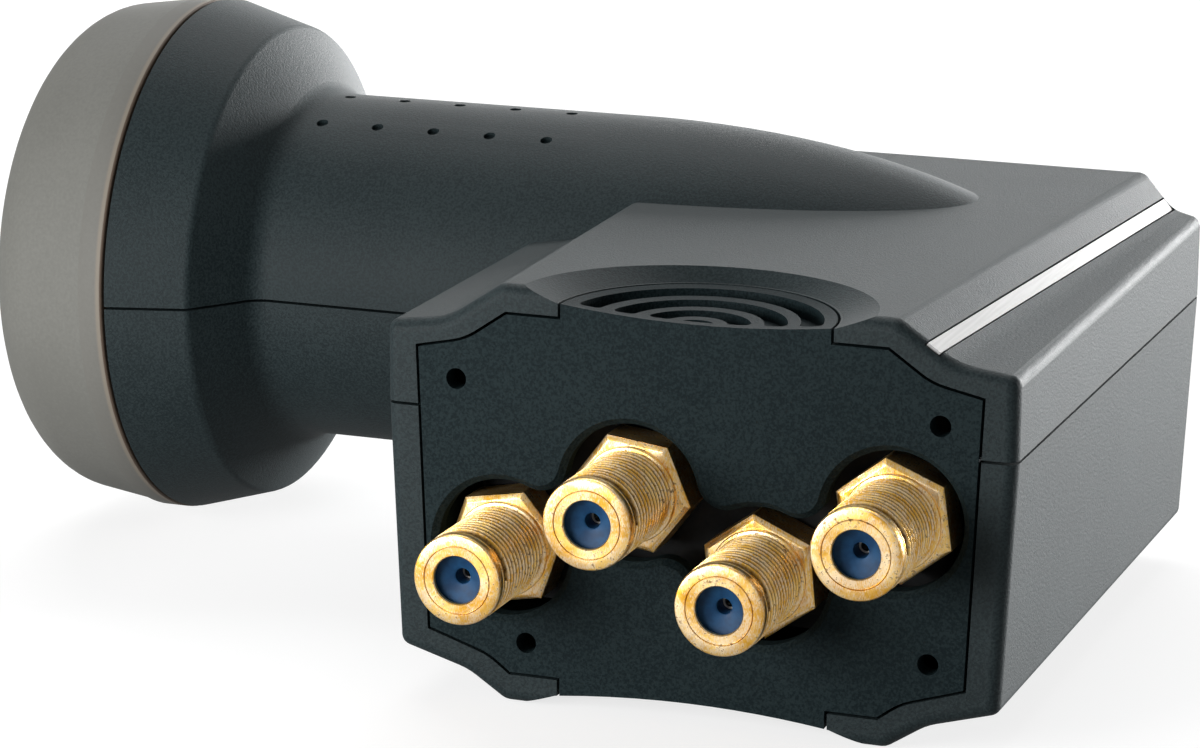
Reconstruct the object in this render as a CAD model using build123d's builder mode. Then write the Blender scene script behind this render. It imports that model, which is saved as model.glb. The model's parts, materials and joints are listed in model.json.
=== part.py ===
# Satellite LNB with four outputs, for a 40 mm feed clamp. All lengths are in millimetres.
# The horn axis is X with the mouth at -X, the outputs point along -Y, and Z is up.
# The origin is the middle of the round collar that the clamp grips, on the horn axis.
from build123d import *
import os
from math import cos, radians, sin, sqrt

os.makedirs("parts", exist_ok=True)

# Collar
collar_diameter = 40.0  # standard feed clamp
collar_length = 31.9
shell_wall = 2.4
parting_gap = 0.3  # reveal between the two housing shells

# Horn flare, from the collar towards the mouth
flare_root_length = 5.2
flare_root_radius = 27.6
flare_length = 9.0
flare_seam_radius = 30.2
flare_root_fillet = 3.0
flare_crest_fillet = 1.2

# Feed cap
cap_length = 17.6
cap_overhang = 0.1  # rim beyond the flare
cap_taper = 2.1
cap_edge_radius = 7.5
cap_dome_rise = 1.2
cap_wall = 1.8
cap_rim_width = 3.0
cap_rim_step = 0.2
cap_gap = 0.3

# Body behind the collar
body_width = 67.0
front_reach = 56.6  # horn axis to the face that holds the outputs
rear_reach = 22.7
rear_wall = 2.5
top_height = 13.25
bottom_depth = 31.1

# Shoulders of the upper shell: top flat, slope, hollow and ledge, wider towards the back
top_inset = 12.6  # from the body's side
shoulder_foot_inset = 6.6
shoulder_drop = 4.0  # from the top
ledge_drop = 4.85
right_flare = 6.05
left_flare = 1.8
foot_flare_share = 0.56
rear_rise = 0.55  # the upper outline climbs towards the back
top_fillet = 1.6
edge_fillet = 1.2
front_foot_fillet = 8.0
rear_foot_fillet = 3.5

# Chines of the lower shell, the same idea upside down
side_draft = 1.2
chine_rise = 4.9  # from the bottom
chine_foot_rise = 2.75
chine_foot_inset = 8.7
bottom_inset = 12.9
chine_foot_fillet = 7.0
rim_fillet = 1.3  # rounding of the front and rear outlines

# Fairing: the collar runs on over the body as a bullet
fairing_start = 6.0
fairing_reach = 47.6
quarter_turn = 90.0  # degrees

# Slot in the shells that the weather shield slides in, as rims left of the outline
rim_side = 3.3
rim_top = 2.75
rim_bottom = 3.05
rim_ledge = 2.15
rim_chine = 2.1
rim_chine_foot = 2.5
rim_bottom_corner = 0.7
rim_foot = 2.1
rim_corner = 0.6
slot_foot_fillet = 7.0

# Weather shield
shield_clearance = 0.3
shield_wall = 1.2
panel_thickness = 2.2
shield_length = 38.0
opening_radius = 7.25
cusp_radius = 3.0
opening_chamfer = 0.65
corner_hole_radius = 1.1
upper_hole_inset = 7.8
upper_hole_drop = 5.4  # below the ledge
left_hole_inset = 15.5
left_hole_rise = 6.7  # above the bottom
right_hole_inset = 8.5
right_hole_rise = 9.5

# Thumb grips: ribbed half discs of the shield, in dished recesses of the shells
grip_radius = 14.3
dish_depth = 2.3
dish_floor_radius = 14.8
dish_floor_rise = 0.95
dish_half_width = 18.6  # where the recess runs out on the face
dish_half_depth = 15.9
groove_count = 4
groove_pitch = 3.65
groove_width = 2.35
groove_depth = 0.9
groove_end = 1.2
groove_end_fillet = 0.7
grip_rim = 1.3

# Trim strips in the shoulders
strip_width = 1.55
strip_thickness = 0.8
strip_gap = 0.2
strip_front_setback = 0.6
strip_front_place = 0.63  # share of the slope from the top edge down to the shoulder's foot
strip_rear_place = 0.86

# Dimples along the collar
dimple_count = 5
dimple_pitch = 6.9
dimple_start = -13.1
dimple_radius = 0.68
dimple_depth = 0.5
dimple_turns = (0.0, 23.5)  # degrees from the top towards the outputs

# F connectors
connector_count = 4
connector_left_margin = 12.8  # body's side to the first output's axis
connector_right_margin = 12.5
row_rise = 4.43  # lower row above the tray's floor
row_step = 7.25
thread_radius = 4.76
thread_reach = 12.1  # tip beyond the shield's face
hex_flats = 11.3
hex_setback = 0.1
hex_thickness = 4.7
hex_facet_depth = 0.4
hex_facet_width = 0.55
seal_thickness = 0.8
seal_radius = 5.3
spigot_radius = 4.0
spigot_clearance = 0.1
bore_radius = 2.85
tip_chamfer = 0.45
insulator_clearance = 0.04
insulator_setback = 1.0
insulator_mouth_radius = 2.6
insulator_mouth_depth = 0.9
entry_radius = 0.55  # for the plug's wire
contact_radius = 0.75
contact_bore_radius = 0.55
contact_setback = 1.6
contact_gap = 0.1
contact_bore_depth = 6.0
pin_radius = 0.45
leg_radius = 0.4
hex_turns = (19.5, 37.0, -6.0, -8.0)  # degrees, as the hexagons were tightened

# RF casting: stepped horn, waveguide and tray
guide_radius = 8.75
guide_wall = 1.4
guide_setback = 7.45  # its closed end, short of the body's middle
aperture_length = 9.0
aperture_wall = 2.3
flange_clearance = 0.4
step_count = 5
step_length = 4.6
tray_inset = 7.7  # from the body's side
tray_wall = 3.5
tray_front_wall = 2.4
tray_top = 3.2
tray_rear_gap = 4.1  # short of the body's rear
tray_floor_gap = 12.1  # above the body's bottom
board_seat = 0.7
gasket_thickness = 0.6
cover_thickness = 1.5

# Circuit
board_thickness = 1.2
board_rise = 8.8  # above the tray's floor
board_clearance = 0.3
contact_inner_reach = 5.0
probe_radius = 0.6
probe_hole_radius = 1.3
probe_tip = 3.5
vertical_probe_setback = 12.0  # from the guide's closed end
isolation_pin_setback = 8.4
horizontal_probe_setback = 4.8
horizontal_probe_stand = 13.2
isolation_pin_radius = 1.0
puck_radius = 3.0
puck_height = 2.5
tuner_radius = 2.0
tuner_gap = 2.0
tuner_clearance = 0.05
puck_spacing = 16.0
puck_y = -26.0
chip_size = 5.0
chip_height = 0.9
chip_spacing = 11.0
chip_y = -12.0
chip_count = 3
seal_ring_radius = 0.7
seal_ring_squeeze = 0.04
screw_radius = 1.25
screw_head_radius = 1.9
screw_head_height = 1.1
screw_length = 7.0
screw_row_inset = 6.0
screw_clearance = 0.05

# Places worked out from the sizes above
collar_radius = collar_diameter / 2
body_left = collar_length / 2
half_width = body_width / 2
body_x = body_left + half_width
body_right = body_left + body_width
top_half_width = half_width - top_inset
shoulder_foot_half_width = half_width - shoulder_foot_inset
chine_foot_half_width = half_width - chine_foot_inset
bottom_half_width = half_width - bottom_inset
shoulder_foot_height = top_height - shoulder_drop
ledge_height = top_height - ledge_drop
chine_depth = bottom_depth - chine_rise
chine_foot_depth = bottom_depth - chine_foot_rise
flare_root_x = -collar_length / 2
flare_crest_x = flare_root_x - flare_root_length
seam_x = flare_crest_x - flare_length
cap_rim_radius = flare_seam_radius + cap_overhang
cap_front_radius = cap_rim_radius - cap_taper
fairing_start_x = body_left + fairing_start
fairing_length = (fairing_reach - fairing_start) / sqrt(1 - (top_height / collar_radius) ** 2)
collar_bore_end = body_left + rim_side + 2 * side_draft
body_depth = front_reach + rear_reach
slot_depth = body_depth - rear_wall
slot_top = top_height - rim_top
slot_bottom = bottom_depth - rim_bottom
grip_centre = (body_x, -front_reach, 0)
grip_axis = Axis(grip_centre, (0, 0, 1))
front = Plane.XZ.offset(front_reach)
rear = Plane.XZ.offset(-rear_reach)
tray_bottom = bottom_depth - tray_floor_gap
lower_row_depth = tray_bottom - row_rise
upper_row_depth = lower_row_depth - row_step
connector_run = body_width - connector_left_margin - connector_right_margin
connector_pitch = connector_run / (connector_count - 1)
connector_places = [
    (
        body_left + connector_left_margin + i * connector_pitch,
        -lower_row_depth if i % 2 == 0 else -upper_row_depth,
    )
    for i in range(connector_count)
]
hex_front = front_reach - hex_setback
tray_front = hex_front - hex_thickness - seal_thickness
tray_rear = rear_reach - tray_rear_gap
tray_half_width = half_width - tray_inset
guide_end_x = body_x - guide_setback
vertical_probe_x = guide_end_x - vertical_probe_setback
isolation_pin_x = guide_end_x - isolation_pin_setback
horizontal_probe_x = guide_end_x - horizontal_probe_setback
board_top = tray_bottom - board_rise
board_bottom = board_top + board_thickness
cover_top = tray_bottom + gasket_thickness
cover_bottom = cover_top + cover_thickness


def upper_outline(left, right, rise, foot_fillet):
    """Corners of the upper body section in X and Z, with the radius of each."""
    left_foot = shoulder_foot_half_width + foot_flare_share * left
    right_foot = shoulder_foot_half_width + foot_flare_share * right
    points = [
        (body_left, 0),
        (body_right, 0),
        (body_right, ledge_height + rise),
        (body_x + right_foot, shoulder_foot_height + rise),
        (body_x + top_half_width + right, top_height + rise),
        (body_x - top_half_width - left, top_height + rise),
        (body_x - left_foot, shoulder_foot_height + rise),
        (body_left, ledge_height + rise),
    ]
    radii = [0, 0, edge_fillet, foot_fillet, top_fillet, top_fillet, foot_fillet, edge_fillet]
    return points, radii


def lower_outline():
    """Corners of the lower body section in X and Z, with the radius of each."""
    right_side = [
        (half_width, 0),
        (half_width - side_draft, -chine_depth),
        (chine_foot_half_width, -chine_foot_depth),
        (bottom_half_width, -bottom_depth),
    ]
    left_side = [(-x, z) for x, z in reversed(right_side)]
    points = [(body_x + x, z) for x, z in right_side + left_side]
    radii = [0, edge_fillet, chine_foot_fillet, top_fillet]
    return points, radii + radii[::-1]


def slot_outline():
    """Corners of the shield's slot in X and Z, the body's outline less its rims."""
    right_side = [
        (half_width - rim_side, ledge_height - rim_ledge),
        (half_width - rim_side - side_draft, rim_chine - chine_depth),
        (chine_foot_half_width - rim_chine_foot, rim_chine - chine_foot_depth),
        (bottom_half_width - rim_bottom_corner, -slot_bottom),
    ]
    left_side = [(-x, z) for x, z in reversed(right_side)]
    over = [
        (top_half_width - rim_corner, slot_top),
        (shoulder_foot_half_width - rim_foot, shoulder_foot_height - rim_ledge + rim_corner / 2),
    ]
    top = [(-x, z) for x, z in reversed(over)] + over
    points = [(body_x + x, z) for x, z in right_side + left_side + top]
    radii = [0, 0, slot_foot_fillet, 0, 0, slot_foot_fillet, 0, 0, slot_foot_fillet, 0, 0, slot_foot_fillet]
    return points, radii


def section(plane, outline, inset=0.0):
    """A closed face on a plane, from corners and their radii, drawn in by an inset."""
    points, radii = outline
    with BuildSketch(plane) as face:
        with BuildLine():
            FilletPolyline(*points, radius=radii, close=True)
        make_face()
        if inset:
            offset(amount=-inset)
    return face.sketch


def strip_section(side, flare, setback, width, low, high):
    """A rectangle across one shoulder's slope, where a trim strip or its channel runs."""
    share = setback / body_depth
    widening = flare * share
    rise = rear_rise * share
    top = Vector(body_x + side * (top_half_width + widening), 0, top_height + rise)
    foot_x = shoulder_foot_half_width + foot_flare_share * widening
    foot = Vector(body_x + side * foot_x, 0, shoulder_foot_height + rise)
    place = strip_front_place + (strip_rear_place - strip_front_place) * share
    middle = top + (foot - top) * place
    slope = (foot - top) * side
    across = Plane(
        origin=(middle.X, setback - front_reach, middle.Z), x_dir=slope, z_dir=(0, -1, 0)
    )
    with BuildSketch(across) as face:
        with Locations((0, (low + high) / 2)):
            Rectangle(width, high - low)
    return face.sketch


def dish_floor(side, face_z):
    """Half of the dished floor of a thumb grip, to turn about the grip's upright axis."""
    floor_z = side * (face_z - dish_depth)
    with BuildSketch(Plane(origin=grip_centre, x_dir=(1, 0, 0), z_dir=(0, -1, 0))) as face:
        with BuildLine():
            ThreePointArc(
                (0, floor_z),
                (dish_floor_radius / 2, floor_z + side * dish_floor_rise / 4),
                (dish_floor_radius, floor_z + side * dish_floor_rise),
            )
            Polyline(
                (dish_floor_radius, floor_z + side * dish_floor_rise),
                (dish_floor_radius, side * (face_z + dish_depth)),
                (0, side * (face_z + dish_depth)),
                (0, floor_z),
            )
        make_face()
    return face.sketch


def dish_bank(side, face_z):
    """The sloped bank from the dished floor up through the face: a circle, then an ellipse."""
    foot_drop = dish_depth - dish_floor_rise
    sections = []
    for height in (-foot_drop, foot_drop):
        share = 1 + height / foot_drop
        with BuildSketch(Plane.XY.offset(side * (face_z + height))) as face:
            with Locations((body_x, -front_reach)):
                Ellipse(
                    dish_floor_radius + share * (dish_half_width - dish_floor_radius),
                    dish_floor_radius + share * (dish_half_depth - dish_floor_radius),
                )
        sections.append(face.sketch)
    return sections


def hexagon(x, z, turn, reach, apothem):
    """A hexagon square to the outputs, with a corner turned from the top towards +X."""
    with BuildSketch(Plane.XZ.offset(reach)) as face:
        with Locations((x, z)):
            RegularPolygon(apothem, 6, major_radius=False, rotation=90 - turn)
    return face.sketch


strip_runs = {
    "left": (-1, left_flare, 2 * rim_fillet, front_reach - collar_radius - rim_fillet),
    "right": (1, right_flare, strip_front_setback, body_depth - rim_fillet),
}
grips = ((1, slot_top, top_height), (-1, slot_bottom, bottom_depth))

# Upper shell
with BuildPart() as upper_shell:
    loft(
        [
            section(front, upper_outline(0, 0, 0, front_foot_fillet)),
            section(rear, upper_outline(left_flare, right_flare, rear_rise, rear_foot_fillet)),
        ],
        ruled=True,
    )
    rims = upper_shell.edges().filter_by(Plane.XZ).filter_by(lambda e: e.center().Z > ledge_height / 4)
    fillet(rims, rim_fillet)
    with BuildSketch(Plane.XY):
        with BuildLine():
            FilletPolyline(
                (seam_x, 0),
                (seam_x, flare_seam_radius),
                (flare_crest_x, flare_root_radius),
                (flare_root_x, collar_radius),
                (fairing_start_x, collar_radius),
                radius=[0, flare_crest_fillet, flare_root_fillet],
            )
            EllipticalCenterArc(
                (fairing_start_x, 0), fairing_length, collar_radius, arc_size=quarter_turn
            )
            Line((fairing_start_x + fairing_length, 0), (seam_x, 0))
        make_face()
    revolve(axis=Axis.X, revolution_arc=180)
    extrude(section(front, slot_outline()), amount=-slot_depth, mode=Mode.SUBTRACT)
    with BuildSketch(Plane.XY):
        with BuildLine():
            Polyline(
                (seam_x, 0),
                (seam_x, flare_seam_radius - shell_wall),
                (flare_crest_x, flare_root_radius - shell_wall),
                (flare_root_x, collar_radius - shell_wall),
                (fairing_start_x, collar_radius - shell_wall),
            )
            EllipticalCenterArc(
                (fairing_start_x, 0),
                fairing_length - shell_wall,
                collar_radius - shell_wall,
                arc_size=quarter_turn,
            )
            Line((fairing_start_x + fairing_length - shell_wall, 0), (seam_x, 0))
        make_face()
    revolve(axis=Axis.X, revolution_arc=180, mode=Mode.SUBTRACT)
    with BuildSketch(Plane.XY.offset(slot_top - rim_top)):
        with Locations((body_x, -front_reach)):
            Circle(grip_radius + shield_clearance)
    extrude(amount=3 * rim_top, mode=Mode.SUBTRACT)
    revolve(dish_floor(1, top_height), axis=grip_axis, mode=Mode.SUBTRACT)
    loft(dish_bank(1, top_height), ruled=True, mode=Mode.SUBTRACT)
    channel_width = strip_width + 2 * strip_gap
    for side, widening, start, end in strip_runs.values():
        loft(
            [
                strip_section(side, widening, setback, channel_width, -strip_thickness, strip_thickness)
                for setback in (start - strip_gap, end + strip_gap)
            ],
            ruled=True,
            mode=Mode.SUBTRACT,
        )
    dimple_planes = [
        Plane(
            origin=(
                dimple_start + i * dimple_pitch,
                -collar_radius * sin(radians(turn)),
                collar_radius * cos(radians(turn)),
            ),
            x_dir=(1, 0, 0),
            z_dir=(0, -sin(radians(turn)), cos(radians(turn))),
        )
        for turn in dimple_turns
        for i in range(dimple_count)
    ]
    with Locations(*dimple_planes):
        Cylinder(dimple_radius, 2 * dimple_depth, mode=Mode.SUBTRACT)
upper_shell.part.label = "upper_shell"
export_step(upper_shell.part, "parts/upper_shell.step")

# Lower shell
with BuildPart() as lower_shell:
    extrude(section(front, lower_outline()), amount=-body_depth)
    rims = lower_shell.edges().filter_by(Plane.XZ).filter_by(lambda e: e.center().Z < -ledge_height / 4)
    fillet(rims, rim_fillet)
    with BuildSketch(Plane.XY):
        with BuildLine():
            FilletPolyline(
                (seam_x, 0),
                (seam_x, -flare_seam_radius),
                (flare_crest_x, -flare_root_radius),
                (flare_root_x, -collar_radius),
                (fairing_start_x, -collar_radius),
                (fairing_start_x, 0),
                (seam_x, 0),
                radius=[0, 0, flare_crest_fillet, flare_root_fillet, 0, 0],
                close=True,
            )
        make_face()
    revolve(axis=Axis.X, revolution_arc=180)
    extrude(section(front, slot_outline()), amount=-slot_depth, mode=Mode.SUBTRACT)
    with BuildSketch(Plane.XY):
        with BuildLine():
            Polyline(
                (seam_x, 0),
                (seam_x, shell_wall - flare_seam_radius),
                (flare_crest_x, shell_wall - flare_root_radius),
                (flare_root_x, shell_wall - collar_radius),
                (collar_bore_end, shell_wall - collar_radius),
                (collar_bore_end, 0),
                close=True,
            )
        make_face()
    revolve(axis=Axis.X, revolution_arc=180, mode=Mode.SUBTRACT)
    with BuildSketch(Plane.XY.offset(rim_bottom - slot_bottom)):
        with Locations((body_x, -front_reach)):
            Circle(grip_radius + shield_clearance)
    extrude(amount=-3 * rim_bottom, mode=Mode.SUBTRACT)
    revolve(dish_floor(-1, bottom_depth), axis=grip_axis, mode=Mode.SUBTRACT)
    loft(dish_bank(-1, bottom_depth), ruled=True, mode=Mode.SUBTRACT)
    split(bisect_by=Plane.XY.offset(-parting_gap), keep=Keep.BOTTOM)
lower_shell.part.label = "lower_shell"
export_step(lower_shell.part, "parts/lower_shell.step")

# Weather shield: a sleeve with a front panel, a scalloped opening and two ribbed thumb grips
with BuildPart() as weather_shield:
    extrude(section(front, slot_outline(), shield_clearance), amount=-shield_length)
    inner = front.offset(-panel_thickness)
    extrude(
        section(inner, slot_outline(), shield_clearance + shield_wall),
        amount=-shield_length,
        mode=Mode.SUBTRACT,
    )
    for side, slot_z, face_z in grips:
        skin_z = slot_z - shield_clearance - shield_wall / 2
        with BuildSketch(Plane.XY.offset(side * skin_z)):
            with Locations((body_x, -front_reach)):
                Circle(grip_radius)
            with Locations((body_x, -front_reach + grip_radius)):
                Rectangle(2 * grip_radius, 2 * grip_radius, mode=Mode.INTERSECT)
        extrude(amount=side * (face_z - skin_z))
        revolve(dish_floor(side, face_z), axis=grip_axis, mode=Mode.SUBTRACT)
        for i in range(groove_count):
            outer = grip_radius - grip_rim - i * groove_pitch
            with BuildSketch(Plane.XY.offset(side * (face_z - dish_depth - groove_depth))) as groove:
                with Locations((body_x, -front_reach)):
                    Circle(outer)
                    if outer > groove_width:
                        Circle(outer - groove_width, mode=Mode.SUBTRACT)
                with Locations((body_x, -front_reach + groove_end + grip_radius)):
                    Rectangle(2 * grip_radius, 2 * grip_radius, mode=Mode.INTERSECT)
                if outer > groove_width:
                    fillet(groove.vertices(), groove_end_fillet)
            extrude(amount=side * (dish_depth + groove_depth), mode=Mode.SUBTRACT)
    with BuildSketch(front):
        with Locations(*connector_places):
            Circle(opening_radius + cusp_radius)
        offset(amount=-cusp_radius)
    extrude(amount=-panel_thickness, mode=Mode.SUBTRACT)
    mouth = weather_shield.edges(Select.LAST).filter_by_position(
        Axis.Y, -front_reach - opening_chamfer / 4, -front_reach + opening_chamfer / 4
    )
    chamfer(mouth, opening_chamfer)
    with BuildSketch(front):
        with Locations(
            (body_left + upper_hole_inset, ledge_height - upper_hole_drop),
            (body_right - upper_hole_inset, ledge_height - upper_hole_drop),
            (body_left + left_hole_inset, left_hole_rise - bottom_depth),
            (body_right - right_hole_inset, right_hole_rise - bottom_depth),
        ):
            Circle(corner_hole_radius)
    extrude(amount=-panel_thickness, mode=Mode.SUBTRACT)
weather_shield.part.label = "weather_shield"
export_step(weather_shield.part, "parts/weather_shield.step")

# Trim strips in the two shoulders
for name, (side, widening, start, end) in strip_runs.items():
    with BuildPart() as trim_strip:
        loft(
            [
                strip_section(side, widening, setback, strip_width, -strip_thickness, 0)
                for setback in (start, end)
            ],
            ruled=True,
        )
    trim_strip.part.label = f"trim_strip_{name}"
    export_step(trim_strip.part, f"parts/trim_strip_{name}.step")

# Feed cap: a domed lid over the casting's aperture
cap_rear_x = seam_x - cap_gap
cap_front_x = cap_rear_x - cap_length
cap_inner_radius = flare_seam_radius - shell_wall
with BuildPart() as feed_cap:
    with BuildSketch(Plane.XY):
        with BuildLine():
            FilletPolyline(
                (cap_rear_x, 0),
                (cap_rear_x, cap_rim_radius),
                (cap_rear_x - cap_rim_width, cap_rim_radius),
                (cap_rear_x - cap_rim_width, cap_rim_radius - cap_rim_step),
                (cap_front_x + cap_dome_rise, cap_front_radius),
                (cap_front_x, 0),
                radius=[0, 0, 0, cap_edge_radius],
            )
            Line((cap_front_x, 0), (cap_rear_x, 0))
        make_face()
    revolve(axis=Axis.X)
    with BuildSketch(Plane.XY):
        with BuildLine():
            FilletPolyline(
                (cap_rear_x, 0),
                (cap_rear_x, cap_inner_radius),
                (cap_front_x + cap_dome_rise + cap_wall, cap_inner_radius),
                (cap_front_x + cap_wall, 0),
                radius=[0, cap_edge_radius - cap_wall],
            )
            Line((cap_front_x + cap_wall, 0), (cap_rear_x, 0))
        make_face()
    revolve(axis=Axis.X, mode=Mode.SUBTRACT)
feed_cap.part.label = "feed_cap"
export_step(feed_cap.part, "parts/feed_cap.step")

# RF casting: a stepped horn runs into the round waveguide, and a tray under it holds the circuit
flange_radius = cap_inner_radius - flange_clearance
aperture_x = seam_x - aperture_length
aperture_radius = flange_radius - aperture_wall
guide_outer = guide_radius + guide_wall
tray_inner_half = tray_half_width - tray_wall
tray_length = tray_front + tray_rear
tray_mid_y = (tray_rear - tray_front) / 2
pocket_length = tray_length - 2 * tray_front_wall
seal_x = seam_x - aperture_length / 2
seal_floor = cap_inner_radius - 2 * (seal_ring_radius + seal_ring_squeeze)
with BuildPart() as rf_casting:
    with BuildSketch(Plane.XY.offset(-tray_bottom)):
        with Locations((body_x, tray_mid_y)):
            RectangleRounded(2 * tray_half_width, tray_length, tray_front_wall)
    extrude(amount=tray_bottom + tray_top)
    with BuildSketch(Plane.XY.offset(-board_top)):
        with Locations((body_x, tray_mid_y)):
            Rectangle(2 * (tray_inner_half - board_seat), pocket_length - 2 * board_seat)
    extrude(amount=board_top + tray_top - tray_front_wall, mode=Mode.SUBTRACT)
    with BuildSketch(Plane.XY):
        with BuildLine():
            Polyline(
                (aperture_x, 0),
                (aperture_x, flange_radius),
                (seam_x, flange_radius),
                (flare_crest_x, flare_root_radius - shell_wall - guide_wall),
                (flare_root_x, collar_radius - 2 * shell_wall),
                (flare_root_x + flare_root_length, guide_outer),
                (guide_end_x, guide_outer),
                (guide_end_x, 0),
                close=True,
            )
        make_face()
    revolve(axis=Axis.X)
    with BuildSketch(Plane.XY.offset(-tray_bottom)):
        with Locations((body_x, tray_mid_y)):
            Rectangle(2 * tray_inner_half, pocket_length)
    extrude(amount=tray_bottom - board_top, mode=Mode.SUBTRACT)
    step_rise = (aperture_radius - guide_radius) / step_count
    bore = [(aperture_x, 0)]
    for i in range(step_count):
        radius = aperture_radius - i * step_rise
        bore += [(aperture_x + i * step_length, radius), (aperture_x + (i + 1) * step_length, radius)]
    bore_start_x = aperture_x + step_count * step_length
    bore += [(bore_start_x, guide_radius), (guide_end_x - guide_wall, guide_radius)]
    bore += [(guide_end_x - guide_wall, 0)]
    with BuildSketch(Plane.XY):
        with BuildLine():
            Polyline(*bore, close=True)
        make_face()
    revolve(axis=Axis.X, mode=Mode.SUBTRACT)
    with BuildSketch(Plane.XY):
        with Locations((seal_x, seal_floor)):
            Rectangle(
                2 * (seal_ring_radius + seal_ring_squeeze),
                2 * seal_ring_radius,
                align=(Align.CENTER, Align.MIN),
            )
    revolve(axis=Axis.X, mode=Mode.SUBTRACT)
    with BuildSketch(Plane.XZ.offset(tray_front)):
        with Locations(*connector_places):
            Circle(spigot_radius + spigot_clearance)
    extrude(amount=-(tray_front_wall + board_seat), mode=Mode.SUBTRACT)
    with Locations((vertical_probe_x, 0, -guide_outer)):
        Cylinder(probe_hole_radius, 4 * guide_wall, mode=Mode.SUBTRACT)
    with Locations((isolation_pin_x, 0, 0)):
        Cylinder(isolation_pin_radius, 2 * guide_outer, mode=Mode.SUBTRACT)
    with BuildSketch(Plane.XZ.offset(guide_radius - guide_wall)):
        with Locations((horizontal_probe_x, 0)):
            Circle(probe_hole_radius)
    extrude(amount=3 * guide_wall, mode=Mode.SUBTRACT)
    screw_places = [
        (body_x + side * (tray_half_width - tray_wall / 2), y)
        for side in (-1, 1)
        for y in (
            screw_row_inset - tray_front,
            tray_mid_y,
            tray_rear - screw_row_inset,
        )
    ]
    with BuildSketch(Plane.XY.offset(-tray_bottom)):
        with Locations(*screw_places):
            Circle(screw_radius + screw_clearance)
    extrude(amount=screw_length, mode=Mode.SUBTRACT)
rf_casting.part.label = "rf_casting"
export_step(rf_casting.part, "parts/rf_casting.step")

# Gasket and cover under the tray
puck_places = [(body_x - puck_spacing / 2, puck_y), (body_x + puck_spacing / 2, puck_y)]
with BuildPart() as cover_gasket:
    with BuildSketch(Plane.XY.offset(-cover_top)):
        with Locations((body_x, tray_mid_y)):
            RectangleRounded(2 * tray_half_width, tray_length, tray_front_wall)
            Rectangle(2 * tray_inner_half, pocket_length, mode=Mode.SUBTRACT)
        with Locations(*screw_places):
            Circle(screw_radius + screw_clearance, mode=Mode.SUBTRACT)
    extrude(amount=gasket_thickness)
cover_gasket.part.label = "cover_gasket"
export_step(cover_gasket.part, "parts/cover_gasket.step")

with BuildPart() as casting_cover:
    with BuildSketch(Plane.XY.offset(-cover_bottom)):
        with Locations((body_x, tray_mid_y)):
            RectangleRounded(2 * tray_half_width, tray_length, tray_front_wall)
        with Locations(*screw_places):
            Circle(screw_radius + screw_clearance, mode=Mode.SUBTRACT)
        with Locations(*puck_places):
            Circle(tuner_radius + tuner_clearance, mode=Mode.SUBTRACT)
    extrude(amount=cover_thickness)
casting_cover.part.label = "casting_cover"
export_step(casting_cover.part, "parts/casting_cover.step")

with BuildPart() as cover_screws:
    with BuildSketch(Plane.XY.offset(-cover_bottom)):
        with Locations(*screw_places):
            Circle(screw_radius)
    extrude(amount=screw_length)
    with BuildSketch(Plane.XY.offset(-cover_bottom)):
        with Locations(*screw_places):
            Circle(screw_head_radius)
    extrude(amount=-screw_head_height)
cover_screws.part.label = "cover_screws"
export_step(cover_screws.part, "parts/cover_screws.step")

# Circuit board and what stands on it
with BuildPart() as circuit_board:
    with BuildSketch(Plane.XY.offset(-board_bottom)):
        with Locations((body_x, tray_mid_y)):
            Rectangle(
                2 * (tray_inner_half - board_clearance), pocket_length - 2 * board_clearance
            )
    extrude(amount=board_thickness)
circuit_board.part.label = "circuit_board"
export_step(circuit_board.part, "parts/circuit_board.step")

with BuildPart() as board_chips:
    with BuildSketch(Plane.XY.offset(-board_bottom)):
        with Locations((body_x, chip_y)):
            with GridLocations(chip_spacing, chip_spacing, chip_count, 1):
                Rectangle(chip_size, chip_size)
    extrude(amount=-chip_height)
board_chips.part.label = "board_chips"
export_step(board_chips.part, "parts/board_chips.step")

with BuildPart() as resonator_pucks:
    with BuildSketch(Plane.XY.offset(-board_bottom)):
        with Locations(*puck_places):
            Circle(puck_radius)
    extrude(amount=-puck_height)
resonator_pucks.part.label = "resonator_pucks"
export_step(resonator_pucks.part, "parts/resonator_pucks.step")

with BuildPart() as tuning_screws:
    with BuildSketch(Plane.XY.offset(-board_bottom - puck_height - tuner_gap)):
        with Locations(*puck_places):
            Circle(tuner_radius)
    extrude(amount=-(cover_bottom - board_bottom - puck_height - tuner_gap))
tuning_screws.part.label = "tuning_screws"
export_step(tuning_screws.part, "parts/tuning_screws.step")

# Probes and the pin that keeps them apart
with BuildPart() as vertical_probe:
    with BuildSketch(Plane.XY.offset(-board_top)):
        with Locations((vertical_probe_x, 0)):
            Circle(probe_radius)
    extrude(amount=board_top - probe_tip)
vertical_probe.part.label = "vertical_probe"
export_step(vertical_probe.part, "parts/vertical_probe.step")

with BuildPart() as horizontal_probe:
    with BuildSketch(Plane.XY.offset(-board_top)):
        with Locations((horizontal_probe_x, -horizontal_probe_stand)):
            Circle(probe_radius)
    extrude(amount=board_top + probe_radius)
    with BuildSketch(Plane.XZ.offset(probe_tip)):
        with Locations((horizontal_probe_x, 0)):
            Circle(probe_radius)
    extrude(amount=horizontal_probe_stand - probe_tip)
horizontal_probe.part.label = "horizontal_probe"
export_step(horizontal_probe.part, "parts/horizontal_probe.step")

with BuildPart() as isolation_pin:
    with BuildSketch(Plane.XY.offset(spigot_clearance - board_top)):
        with Locations((isolation_pin_x, 0)):
            Circle(isolation_pin_radius - spigot_clearance / 2)
    extrude(amount=board_top + guide_outer - 2 * spigot_clearance)
isolation_pin.part.label = "isolation_pin"
export_step(isolation_pin.part, "parts/isolation_pin.step")

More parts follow.
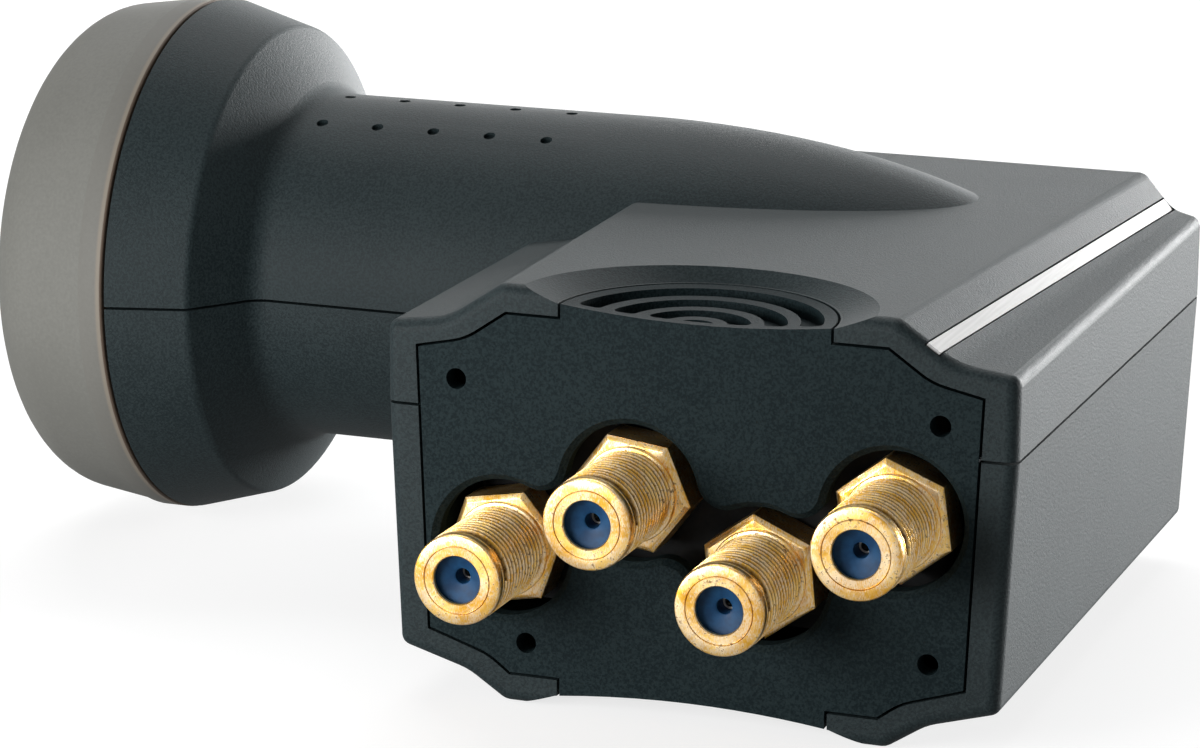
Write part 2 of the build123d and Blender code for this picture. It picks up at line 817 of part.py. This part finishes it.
# Seal ring between cap and casting
with BuildPart() as cap_seal:
    with BuildSketch(Plane.XY):
        with Locations((seal_x, seal_floor + seal_ring_radius + seal_ring_squeeze)):
            Circle(seal_ring_radius)
    revolve(axis=Axis.X)
cap_seal.part.label = "cap_seal"
export_step(cap_seal.part, "parts/cap_seal.step")

# The four outputs, each with its body, insulator, contact and seal
tip_reach = front_reach + thread_reach
tray_inner_front = tray_front - tray_front_wall
leg_reach = tray_inner_front - contact_inner_reach
for number, ((x, z), turn) in enumerate(zip(connector_places, hex_turns), start=1):
    with BuildPart() as f_connector:
        extrude(
            hexagon(x, z, turn, hex_front - hex_facet_depth, hex_flats / 2),
            amount=hex_facet_depth - hex_thickness,
        )
        loft(
            [
                hexagon(x, z, turn, hex_front - hex_facet_depth, hex_flats / 2),
                hexagon(x, z, turn, hex_front, hex_flats / 2 - hex_facet_width),
            ],
            ruled=True,
        )
        with BuildSketch(Plane.XZ.offset(hex_front)):
            with Locations((x, z)):
                Circle(thread_radius)
        extrude(amount=tip_reach - hex_front)
        tip = f_connector.faces().sort_by(Axis.Y)[0].edges()
        chamfer(tip, tip_chamfer)
        with BuildSketch(Plane.XZ.offset(tray_inner_front)):
            with Locations((x, z)):
                Circle(spigot_radius)
        extrude(amount=hex_front - tray_inner_front)
        with BuildSketch(Plane.XZ.offset(tip_reach)):
            with Locations((x, z)):
                Circle(bore_radius)
        extrude(amount=-(tip_reach - tray_inner_front), mode=Mode.SUBTRACT)
    f_connector.part.label = f"f_connector_{number}"
    export_step(f_connector.part, f"parts/f_connector_{number}.step")

    rim_reach = tip_reach - insulator_setback
    mouth_reach = rim_reach - insulator_mouth_depth
    contact_tip = mouth_reach - contact_setback
    with BuildPart() as insulator:
        with BuildSketch(Plane(origin=(x, 0, z), x_dir=(1, 0, 0), z_dir=(0, 0, -1))):
            with BuildLine():
                Polyline(
                    (contact_radius + insulator_clearance, tray_inner_front),
                    (bore_radius - insulator_clearance, tray_inner_front),
                    (bore_radius - insulator_clearance, rim_reach),
                    (insulator_mouth_radius, rim_reach),
                    (entry_radius, mouth_reach),
                    (entry_radius, contact_tip + contact_gap),
                    (contact_radius + insulator_clearance, contact_tip + contact_gap),
                    close=True,
                )
            make_face()
        revolve(axis=Axis((x, 0, z), (0, -1, 0)))
    insulator.part.label = f"f_insulator_{number}"
    export_step(insulator.part, f"parts/f_insulator_{number}.step")

    with BuildPart() as contact:
        with BuildSketch(Plane.XZ.offset(contact_tip)):
            with Locations((x, z)):
                Circle(contact_radius)
        extrude(amount=-(contact_tip - tray_inner_front))
        with BuildSketch(Plane.XZ.offset(contact_tip)):
            with Locations((x, z)):
                Circle(contact_bore_radius)
        extrude(amount=-contact_bore_depth, mode=Mode.SUBTRACT)
        with BuildSketch(Plane.XZ.offset(tray_inner_front)):
            with Locations((x, z)):
                Circle(pin_radius)
        extrude(amount=-contact_inner_reach)
        board_face = -board_top if z > -board_top else -board_bottom
        with BuildSketch(Plane.XY.offset(board_face)):
            with Locations((x, -leg_reach - 2 * leg_radius)):
                Circle(leg_radius)
        extrude(amount=z - board_face)
    contact.part.label = f"f_contact_{number}"
    export_step(contact.part, f"parts/f_contact_{number}.step")

    with BuildPart() as seal:
        with BuildSketch(Plane.XZ.offset(tray_front)):
            with Locations((x, z)):
                Circle(seal_radius)
                Circle(spigot_radius + spigot_clearance, mode=Mode.SUBTRACT)
        extrude(amount=seal_thickness)
    seal.part.label = f"f_seal_{number}"
    export_step(seal.part, f"parts/f_seal_{number}.step")
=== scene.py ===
import bpy
import bmesh
import json
from math import cos, pi, radians, sin
from mathutils import Matrix, Vector


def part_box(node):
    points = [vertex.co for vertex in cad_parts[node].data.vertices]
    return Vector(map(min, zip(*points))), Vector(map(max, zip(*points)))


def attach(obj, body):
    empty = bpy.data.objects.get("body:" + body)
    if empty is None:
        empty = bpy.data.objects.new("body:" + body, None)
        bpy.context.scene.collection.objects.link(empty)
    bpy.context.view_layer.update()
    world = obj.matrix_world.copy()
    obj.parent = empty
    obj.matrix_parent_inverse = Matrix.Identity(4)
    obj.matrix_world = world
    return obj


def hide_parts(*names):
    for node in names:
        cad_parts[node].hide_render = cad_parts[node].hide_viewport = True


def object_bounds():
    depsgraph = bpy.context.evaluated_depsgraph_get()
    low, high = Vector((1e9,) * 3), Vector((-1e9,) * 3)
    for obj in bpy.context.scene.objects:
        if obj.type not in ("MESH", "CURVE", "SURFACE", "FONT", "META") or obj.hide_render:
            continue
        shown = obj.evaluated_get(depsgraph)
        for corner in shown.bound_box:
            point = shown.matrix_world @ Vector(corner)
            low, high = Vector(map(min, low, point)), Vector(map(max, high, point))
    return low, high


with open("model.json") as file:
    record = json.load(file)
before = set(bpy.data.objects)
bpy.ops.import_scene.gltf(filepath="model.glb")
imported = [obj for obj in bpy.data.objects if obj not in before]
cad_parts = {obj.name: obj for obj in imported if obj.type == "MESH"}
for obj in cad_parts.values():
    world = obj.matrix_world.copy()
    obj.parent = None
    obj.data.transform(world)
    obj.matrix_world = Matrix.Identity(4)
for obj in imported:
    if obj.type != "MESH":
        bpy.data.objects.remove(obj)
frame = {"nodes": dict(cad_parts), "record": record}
cad_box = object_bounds()
scene = bpy.context.scene
scene.view_settings.view_transform = "Standard"
mm = 0.001


# Materials, all made from noise on Object coordinates

# the Mix node's sockets for colours, by number, because its kinds of sockets share their names
mix_factor, mix_first, mix_second = 0, 6, 7
mix_result = 2


class Shade:
    """A socket in a material. Python's operators on it add Math nodes."""

    def __init__(self, tree, socket=None):
        self.tree = tree
        self.socket = socket

    def node(self, kind, sockets=None, out=0, **settings):
        """Adds a node: its settings first, then values or links for its sockets."""
        made = self.tree.nodes.new("ShaderNode" + kind)
        for name, value in settings.items():
            setattr(made, name, value)
        for name, value in (sockets or {}).items():
            if isinstance(value, Shade):
                self.tree.links.new(value.socket, made.inputs[name])
            else:
                made.inputs[name].default_value = value
        return Shade(self.tree, made.outputs[out] if len(made.outputs) else None)

    def maths(self, operation, *values):
        return self.node("Math", dict(enumerate(values)), operation=operation)

    def __add__(self, other):
        return self.maths("ADD", self, other)

    def __mul__(self, other):
        return self.maths("MULTIPLY", self, other)

    __radd__ = __add__
    __rmul__ = __mul__

    def between(self, low, high):
        """0 below low, 1 above high, smooth between."""
        return self.node(
            "MapRange",
            {"Value": self, "From Min": low, "From Max": high},
            interpolation_type="SMOOTHSTEP",
        )

    def mix(self, first, second):
        """A colour: first where this is 0, second where it is 1."""
        sockets = {mix_factor: self}
        for socket, colour in ((mix_first, first), (mix_second, second)):
            sockets[socket] = colour if isinstance(colour, Shade) else (*colour, 1.0)
        return self.node("Mix", sockets, out=mix_result, data_type="RGBA")


def noise(place, scale, detail=2.0, rough=0.5):
    """Noise from 0 to 1 on a place, with features of 1/scale metres."""
    return place.node(
        "TexNoise", {"Vector": place, "Scale": scale, "Detail": detail, "Roughness": rough}, out="Fac"
    )


def part_of(place, axis):
    """One of the place's three coordinates, in metres."""
    return place.node("SeparateXYZ", {0: place}, out=axis)


def stretched(place, scale, turn=(0.0, 0.0, 0.0)):
    """The place with each axis scaled and then turned, for streaks."""
    return place.node("Mapping", {"Vector": place, "Rotation": turn, "Scale": scale})


def bump(height, strength, distance):
    """A normal that follows a height, with its distance in metres."""
    return height.node("Bump", {"Height": height, "Strength": strength, "Distance": distance})


def finish(name, recipe):
    """A material whose sockets come from a recipe on Object coordinates."""
    made = bpy.data.materials.new(name)
    made.use_nodes = True
    made.node_tree.nodes.clear()
    base = Shade(made.node_tree)
    place = base.node("TexCoord", out="Object")
    surface = base.node("BsdfPrincipled", recipe(place))
    base.node("OutputMaterial", {"Surface": surface})
    return made


def sand_plastic(dark, light, specular):
    """Moulded plastic with a spark-eroded sand texture and faint clouds."""

    def recipe(place):
        grit = noise(place, 3700, detail=3, rough=0.65)
        cloud = noise(place, 70, detail=4)
        tone = (grit * 0.85 + cloud * 0.15).between(0.4, 0.6)
        return {
            "Base Color": tone.mix(dark, light),
            "Roughness": 0.52 + 0.25 * grit,
            "Specular IOR Level": specular,
            "Normal": bump(grit, 0.6, 0.0001),
        }

    return recipe


def cap_plastic(place):
    """Satin grey plastic of the feed cap, with painted shade on the rim band, a painted highlight on the rear
    edge and a painted shadow line at the seam.
    """
    dark_grey, light_grey = (0.155, 0.155, 0.141), (0.188, 0.188, 0.172)
    # painted shade: a darker grey over the rim band, where its taper catches the light
    rim_painted_shade = (0.155, 0.15, 0.136)
    # painted highlight: a pale cream along the cap's rear edge
    edge_painted_highlight = (0.26, 0.22, 0.175)
    # painted shadow: a dark brown line at the seam between the cap and the shell
    seam_painted_shadow = (0.07, 0.045, 0.03)
    # where each band fades in along X, in metres
    rim_shade_start = (-0.0335, -0.0333)
    edge_highlight_start = (-0.0314, -0.031)
    seam_shadow_start = (-0.0308, -0.03065)

    grit = noise(place, 2600, detail=2)
    cloud = noise(place, 45, detail=4)
    along = part_of(place, "X")
    body = (0.5 * grit + 0.5 * cloud).between(0.3, 0.7).mix(dark_grey, light_grey)
    # painted shade darkens the rim band
    rim_shaded = (along.between(*rim_shade_start) * 0.5).mix(body, rim_painted_shade)
    # painted highlight on the rear edge
    edge_highlighted = (along.between(*edge_highlight_start) * 0.7).mix(rim_shaded, edge_painted_highlight)
    return {
        # painted shadow line at the seam
        "Base Color": (along.between(*seam_shadow_start) * 0.9).mix(edge_highlighted, seam_painted_shadow),
        "Roughness": 0.56 + 0.12 * grit,
        "Specular IOR Level": 0.25,
        "Normal": bump(grit, 0.2, 0.00004),
    }


def silver_trim(place):
    """Satin silver foil, brushed along the strip."""
    streak = noise(stretched(place, (3000.0, 60.0, 3000.0)), 1.0, detail=3)
    return {
        "Base Color": streak.between(0.25, 0.75).mix((0.38, 0.38, 0.375), (0.48, 0.48, 0.475)),
        "Metallic": 0.1,
        "Roughness": 0.5 + 0.15 * streak,
        "Specular IOR Level": 0.3,
        "Normal": bump(streak, 0.15, 0.00003),
    }


def worn_gold(place):
    """Thin gold over brass: pale and deep patches, dark specks, turning marks and painted shade in the
    grooves.
    """
    deep_gold, light_gold = (0.78, 0.4, 0.04), (0.97, 0.63, 0.18)
    rubbed_gold = (1.0, 0.87, 0.68)
    bare_brass = (0.16, 0.08, 0.02)
    # painted shade: a dark brown for the thread roots and the tip's groove
    groove_shade_colour = (0.11, 0.05, 0.008)

    patch = noise(place, 330, detail=4, rough=0.6)
    fleck = noise(place, 2600, detail=3, rough=0.7)
    turning = noise(stretched(place, (400.0, 8000.0, 400.0)), 1.0, detail=3)
    scratch = noise(stretched(place, (14000.0, 1500.0, 2500.0), (0.0, 0.7, 0.0)), 1.0, detail=3)
    # the attribute read here says where painted shade goes: the thread roots and the tip's groove
    groove_shade = place.node("Attribute", out="Fac", attribute_name="groove_shade")
    warm = patch.between(0.38, 0.62).mix(deep_gold, light_gold)
    pale = (turning * 0.35 + fleck * 0.25 + scratch * 0.4).between(0.44, 0.58)
    worn = (fleck * 0.75 + patch * 0.25).between(0.56, 0.66)
    dulled = (worn * 0.8).mix((pale * 0.65).mix(warm, rubbed_gold), bare_brass)
    return {
        # painted shade mixed in at the thread roots and the tip's groove
        "Base Color": (groove_shade.between(0.0, 0.6) * (0.4 + fleck)).mix(dulled, groove_shade_colour),
        "Metallic": 1.0,
        "Roughness": 0.26 + 0.2 * patch + 0.2 * worn,
        "Normal": bump(fleck * 0.4 + turning * 0.3 + scratch * 0.3, 0.5, 0.00007),
    }


def blue_insulator(place):
    """Moulded blue plastic, a little uneven."""
    cloud = noise(place, 900, detail=3)
    return {
        "Base Color": cloud.between(0.3, 0.7).mix((0.004, 0.034, 0.095), (0.01, 0.064, 0.16)),
        "Roughness": 0.4 + 0.15 * cloud,
        "Specular IOR Level": 0.2,
    }


def speckled(dark, light, scale, metallic, roughness):
    """A plain inner finish: two tones of one colour in fine grain."""

    def recipe(place):
        grain = noise(place, scale, detail=3)
        return {
            "Base Color": grain.between(0.3, 0.7).mix(dark, light),
            "Metallic": metallic,
            "Roughness": roughness + 0.15 * grain,
            "Specular IOR Level": 0.25,
            "Normal": bump(grain, 0.2, 0.00004),
        }

    return recipe


def grey(level):
    return (level, level, level)


slot_recipes = {
    "housing": (
        "housing_plastic",
        sand_plastic((0.005, 0.0115, 0.0135), (0.018, 0.029, 0.0315), specular=0.26),
    ),
    # painted shade: the shield is the housing's plastic made darker, for the shade on the front panel
    "shield": (
        "shield_plastic_painted_shade",
        sand_plastic((0.0035, 0.0095, 0.0115), (0.014, 0.0245, 0.027), specular=0.1),
    ),
    "cap": ("cap_plastic", cap_plastic),
    "trim": ("silver_trim", silver_trim),
    "gold": ("worn_gold", worn_gold),
    "insulator": ("blue_insulator", blue_insulator),
    "plating": (
        "tinned_contact",
        speckled((0.42, 0.4, 0.36), (0.6, 0.58, 0.53), scale=1500, metallic=1.0, roughness=0.3),
    ),
    # painted shade: the casting is near black, standing in for the deep shade seen through the shield's
    # openings
    "casting": (
        "casting_painted_shade",
        speckled((0.004, 0.005, 0.006), (0.009, 0.01, 0.011), scale=1200, metallic=0.0, roughness=0.6),
    ),
    "steel": (
        "zinc_plate",
        speckled((0.4, 0.4, 0.42), (0.56, 0.56, 0.57), scale=1800, metallic=1.0, roughness=0.35),
    ),
    "board": (
        "solder_mask",
        speckled((0.02, 0.1, 0.04), (0.04, 0.16, 0.07), scale=700, metallic=0.0, roughness=0.35),
    ),
    "chip": (
        "moulded_chip",
        speckled(grey(0.018), grey(0.035), scale=1500, metallic=0.0, roughness=0.5),
    ),
    "resonator": (
        "fired_ceramic",
        speckled((0.6, 0.55, 0.47), (0.7, 0.66, 0.58), scale=900, metallic=0.0, roughness=0.5),
    ),
    "seal": (
        "black_rubber",
        speckled(grey(0.014), grey(0.028), scale=1100, metallic=0.0, roughness=0.65),
    ),
}
slot_finishes = {slot: finish(name, recipe) for slot, (name, recipe) in slot_recipes.items()}
for subpart in frame["record"]["subparts"]:
    node = frame["nodes"][subpart["node"]]
    node.data.materials.clear()
    node.data.materials.append(slot_finishes[subpart["material_slot"]])


# Tools for the scene's own pieces, which are made in millimetres standing on Z

smooth_angle = radians(32)
# how near a point has to be to a measure to count as lying there
near = 0.01
# turns that lay a piece's Z along -Y and along -X
towards_front = Matrix(((1, 0, 0), (0, 0, -1), (0, 1, 0)))
towards_dish = Matrix(((0, 0, -1), (0, 1, 0), (1, 0, 0)))


def drawn(shape, points, closed):
    """A line of edges through points in the XZ plane."""
    dots = [shape.verts.new((r, 0, z)) for r, z in points]
    pairs = list(zip(dots, dots[1:])) + ([(dots[-1], dots[0])] if closed else [])
    return dots + [shape.edges.new(pair) for pair in pairs]


def turned(shape, points, steps, closed=True):
    """A profile spun once round Z."""
    bmesh.ops.spin(
        shape,
        geom=drawn(shape, points, closed),
        cent=(0, 0, 0),
        axis=(0, 0, 1),
        angle=2 * pi,
        steps=steps,
        use_merge=True,
    )


def planed(shape, spot, normal):
    """Cuts away what lies beyond a plane and closes the cut."""
    cut = bmesh.ops.bisect_plane(
        shape,
        geom=shape.verts[:] + shape.edges[:] + shape.faces[:],
        plane_co=spot,
        plane_no=normal,
        clear_outer=True,
    )
    edges = [e for e in cut["geom_cut"] if isinstance(e, bmesh.types.BMEdge)]
    bmesh.ops.contextual_create(shape, geom=edges)


def rounded(shape, edges, reach, segments):
    """Bevels edges into a rounding."""
    bmesh.ops.bevel(
        shape, geom=edges, offset=reach, segments=segments, profile=0.5, affect="EDGES", material=-1
    )


def rounded_ring(shape, radius, height, reach, segments):
    """Rounds the ring of edges that lies at a radius and a height."""
    ring = [
        edge
        for edge in shape.edges
        if all(abs(v.co.xy.length - radius) < near and abs(v.co.z - height) < near for v in edge.verts)
    ]
    rounded(shape, ring, reach, segments)


def moved_in(shape, mesh_parts):
    """Copies a finished bmesh into a list of meshes and frees it."""
    mesh = bpy.data.meshes.new("part")
    bmesh.ops.recalc_face_normals(shape, faces=shape.faces[:])
    shape.to_mesh(mesh)
    shape.free()
    mesh_parts.append(mesh)


def laid_in(shape, turn, place, name, node, slot):
    """Turns a shape made on Z, moves it to its place and lets it stand for its node."""
    bmesh.ops.transform(shape, matrix=Matrix.Scale(mm, 4), verts=shape.verts[:])
    bmesh.ops.transform(shape, matrix=turn.to_4x4(), verts=shape.verts[:])
    bmesh.ops.translate(shape, vec=place, verts=shape.verts[:])
    mesh = bpy.data.meshes.new(name)
    shape.to_mesh(mesh)
    shape.free()
    mesh.shade_smooth()
    mesh.set_sharp_from_angle(angle=smooth_angle)
    mesh.materials.append(slot_finishes[slot])
    piece = bpy.data.objects.new(name, mesh)
    scene.collection.objects.link(piece)
    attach(piece, "housing")
    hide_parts(node)


# F connectors, with the tip at 0, laid along -Y at their node

tip_y = -68.7
round_steps = 64

hex_turns = (19.5, 37.0, -6.0, -8.0)
hex_front = -12.2
hex_back = -16.9
hex_bore = 3.9
hex_blank = 7.0
hex_apothem = 5.65
hex_face_apothem = 5.1
facet_slope = radians(36.0)
# edges that turn more than this, and lie further out than this, are eased
eased_angle = radians(20)
eased_from = 4.5
hex_ease = 0.09
hex_ease_segments = 2

thread_pitch = 25.4 / 32
thread_root = 4.2
thread_minor = 4.33
thread_major = 4.76
thread_foot = thread_pitch / 2 * 0.98
thread_crest = 0.06
thread_start = -11.4
thread_turns = 12
thread_steps = 40
thread_ridge = [
    (thread_root, -thread_foot),
    (thread_root, thread_foot),
    (thread_major, thread_crest),
    (thread_major, -thread_crest),
]

groove_radius = 3.52
# how much painted shade the tip's groove ring gets
tip_groove_shade = 0.4
# painted shade darkens the thread's grooves between these heights and outside this radius
groove_shade_back, groove_shade_front = thread_start - 0.1, -1.5
groove_shade_from = 4.1

shoulder_radius = 5.05
body_profile = [
    (2.85, -20.1),
    (2.85, -0.6),
    (2.5, -0.5),
    (2.5, -0.12),
    (2.6, 0.0),
    (3.44, 0.0),
    (groove_radius, -0.1),
    (3.6, 0.0),
    (4.4, 0.0),
    (4.58, -0.07),
    (4.7, -0.26),
    (4.72, -0.5),
    (4.72, -0.92),
    (4.65, -1.0),
    (4.72, -1.08),
    (4.72, -1.35),
    (4.64, -1.45),
    (4.34, -1.55),
    (4.34, -1.95),
    (thread_minor, -2.0),
    (thread_minor, thread_start),
    (4.5, -11.6),
    (4.95, -11.7),
    (shoulder_radius, -11.8),
    (shoulder_radius, -12.6),
    (4.0, -12.6),
    (4.0, -20.1),
]
insulator_profile = [
    (2.8, -20.0),
    (2.8, -1.0),
    (2.62, -1.0),
    (1.2, -1.62),
    (0.98, -1.64),
    (0.82, -1.74),
    (0.79, -1.92),
    (0.79, -20.0),
]


def tip_place(number):
    """Where the tip of an output lies."""
    low, high = (Vector(corner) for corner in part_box(f"f_connector_{number}"))
    middle = (low + high) / 2
    return (middle.x, tip_y * mm, middle.z)


def connector(number, turn):
    """The gold body of an output: turned body, faceted hexagon and helical thread."""
    parts = []

    body = bmesh.new()
    turned(body, body_profile, round_steps)
    moved_in(body, parts)

    hexagon = bmesh.new()
    blank = [(hex_bore, hex_back), (hex_bore, hex_front), (hex_blank, hex_front), (hex_blank, hex_back)]
    turned(hexagon, blank, round_steps)
    for k in range(6):
        # a flat lies 30 degrees from a corner, and corners are counted from up towards +X
        angle = radians(turn + 30 + 60 * k)
        out = Vector((sin(angle), cos(angle), 0))
        planed(hexagon, out * hex_apothem, out)
        tilted = out * sin(facet_slope) + Vector((0, 0, cos(facet_slope)))
        planed(hexagon, out * hex_face_apothem + Vector((0, 0, hex_front)), tilted)
    sharp = [e for e in hexagon.edges if len(e.link_faces) == 2 and e.calc_face_angle() > eased_angle]
    rims = [e for e in sharp if min(v.co.xy.length for v in e.verts) > eased_from]
    rounded(hexagon, rims, hex_ease, hex_ease_segments)
    moved_in(hexagon, parts)

    thread = bmesh.new()
    bmesh.ops.spin(
        thread,
        geom=drawn(thread, [(r, z + thread_start) for r, z in thread_ridge], True),
        cent=(0, 0, 0),
        axis=(0, 0, 1),
        dvec=(0, 0, thread_pitch / thread_steps),
        angle=2 * pi * thread_turns,
        steps=thread_steps * thread_turns,
    )
    bmesh.ops.holes_fill(thread, edges=thread.edges[:], sides=len(thread_ridge))
    moved_in(thread, parts)

    whole = bmesh.new()
    for mesh in parts:
        whole.from_mesh(mesh)
        bpy.data.meshes.remove(mesh)
    # an attribute for painted shade: deeper in the thread roots, and on the tip's groove ring
    groove_shade = whole.verts.layers.float.new("groove_shade")
    for vert in whole.verts:
        radius = vert.co.xy.length
        threaded = groove_shade_back < vert.co.z < groove_shade_front and radius > groove_shade_from
        depth = (thread_major - radius) / (thread_major - thread_minor) if threaded else 0.0
        vert[groove_shade] = tip_groove_shade if abs(radius - groove_radius) < near else min(depth, 1.0)
    name, node = f"threaded_output_{number}", f"f_connector_{number}"
    laid_in(whole, towards_front, tip_place(number), name, node, "gold")


def insulator(number):
    """The blue plug of an output, with a funnel round the contact."""
    cup = bmesh.new()
    turned(cup, insulator_profile, round_steps)
    bmesh.ops.recalc_face_normals(cup, faces=cup.faces[:])
    name, node = f"funnel_insulator_{number}", f"f_insulator_{number}"
    laid_in(cup, towards_front, tip_place(number), name, node, "insulator")


for number, turn in enumerate(hex_turns, start=1):
    connector(number, turn)
    insulator(number)


# Feed cap, with its dome up, laid along -X

cap_steps = 144
cap_rear = 30.45
cap_band = 33.45
cap_corner = 46.85
cap_dome = 47.96
cap_rim_radius = 30.3
cap_band_radius = 30.1
cap_front_radius = 28.2
cap_inner_radius = 27.8
cap_inner_corner = 45.05
cap_inner_dome = 46.25
cap_profile = [
    (0.0, cap_dome),
    (6.0, 47.79),
    (cap_front_radius, cap_corner),
    (cap_band_radius, cap_band),
    (cap_rim_radius, cap_band),
    (cap_rim_radius, cap_rear),
    (cap_inner_radius, cap_rear),
    (cap_inner_radius, cap_inner_corner),
    (0.0, cap_inner_dome),
]
# radius and height of each rounded corner, with the rounding's reach and segments
cap_roundings = [
    (cap_front_radius, cap_corner, 6.1, 12),
    (cap_inner_radius, cap_inner_corner, 5.4, 8),
    (cap_rim_radius, cap_band, 0.1, 2),
    (cap_rim_radius, cap_rear, 0.25, 3),
]

cover = bmesh.new()
turned(cover, cap_profile, cap_steps, closed=False)
# the spin leaves a point for each step where the profile meets the axis
bmesh.ops.remove_doubles(cover, verts=cover.verts[:], dist=0.001)
bmesh.ops.recalc_face_normals(cover, faces=cover.faces[:])
for rounding in cap_roundings:
    rounded_ring(cover, *rounding)
laid_in(cover, towards_dish, (0, 0, 0), "smooth_feed_cap", "feed_cap", "cap")


# Stage: white floor and surroundings, and soft lamps from the right, behind, above and the front left

floor_size = 6.0
# the floor lies this far below the part, so that the two share no plane
floor_drop = 0.2
# the floor's own light near the object and far from it, and where the one turns into the other, in metres
near_glow, far_glow = 0.76, 1.0
glow_turn = (0.3, 0.9)
mirrored_share = 0.38
sky_light = 0.1
sky_shown = 0.9


def shown_share(shade):
    """1 for what the camera sees of the white stage, and less for what the object mirrors of it."""
    seen = shade.node("LightPath", out="Is Camera Ray")
    mirrored = shade.node("LightPath", out="Is Glossy Ray")
    through = shade.node("LightPath", out="Is Transmission Ray")
    return shade.maths("MINIMUM", seen + mirrored * mirrored_share + through, 1.0)


def floor_glow(place):
    """The floor's own light: less round the object, so that its shadow shows, and full white further away."""
    distance = place.node("VectorMath", {0: place}, out="Value", operation="LENGTH")
    return distance.between(*glow_turn).mix(grey(near_glow), grey(far_glow))


def white_floor(place):
    """Grey to the lamps, so that shadows show, and glowing white to the camera."""
    return {
        "Base Color": noise(place, 4).mix(grey(0.3), grey(0.32)),
        "Roughness": 0.9,
        "Specular IOR Level": 0.0,
        "Emission Color": shown_share(place).mix(grey(0.0), floor_glow(place)),
        "Emission Strength": 1.0,
    }


floor_shape = bmesh.new()
bmesh.ops.create_grid(floor_shape, x_segments=1, y_segments=1, size=floor_size)
bmesh.ops.translate(floor_shape, vec=(0, 0, cad_box[0][2] - floor_drop * mm), verts=floor_shape.verts[:])
floor_mesh = bpy.data.meshes.new("floor")
floor_shape.to_mesh(floor_mesh)
floor_shape.free()
floor_mesh.materials.append(finish("white_floor", white_floor))
floor = bpy.data.objects.new("floor", floor_mesh)
scene.collection.objects.link(floor)

world = bpy.data.worlds.new("studio")
scene.world = world
world.use_nodes = True
world.node_tree.nodes.clear()
sky = Shade(world.node_tree)
strength = sky_light + sky_shown * shown_share(sky)
backdrop = sky.node("Background", {"Color": (1, 1, 1, 1), "Strength": strength})
sky.node("OutputWorld", {"Surface": backdrop})


def lamp(name, place, target, size, power):
    """A soft box that the camera doesn't see, aimed at a target."""
    made = bpy.data.lights.new(name, "AREA")
    made.shape = "RECTANGLE"
    made.size, made.size_y = size
    made.energy = power
    holder = bpy.data.objects.new(name, made)
    holder.location = place
    holder.rotation_euler = (Vector(target) - Vector(place)).to_track_quat("-Z", "Y").to_euler()
    holder.visible_camera = False
    scene.collection.objects.link(holder)


lamp("right_soft_box", (0.62, 1.1, 0.09), target=(0.05, -0.02, 0.0), size=(1.1, 0.24), power=43)
lamp("back_soft_box", (-0.15, 1.2, 0.25), target=(0.03, -0.02, 0.0), size=(1.1, 0.5), power=6)
lamp("top_soft_box", (-0.2, 0.55, 0.8), target=(0.0, -0.01, 0.0), size=(0.9, 0.6), power=7.2)
lamp("left_fill", (-0.08, -0.23, 0.035), target=(0.01, -0.05, 0.0), size=(0.15, 0.11), power=0.57)


# Camera, fitted to the photograph

camera_place = (0.18467, -0.44136, 0.10878)
azimuth = radians(20.677)
elevation = radians(14.169)
roll = radians(0.282)
ahead = Vector((-sin(azimuth) * cos(elevation), cos(azimuth) * cos(elevation), -sin(elevation)))
level = Vector((cos(azimuth), sin(azimuth), 0))
upright = level.cross(ahead)
right = level * cos(roll) + upright * sin(roll)
up = upright * cos(roll) - level * sin(roll)
eye = bpy.data.cameras.new("camera")
eye.sensor_fit = "HORIZONTAL"
eye.sensor_width = 36.0
eye.lens = 126.26
eye.clip_start = 0.02
camera = bpy.data.objects.new("camera", eye)
camera_turn = Matrix((right, up, -ahead)).transposed().to_4x4()
camera.matrix_world = Matrix.Translation(camera_place) @ camera_turn
scene.collection.objects.link(camera)
scene.camera = camera
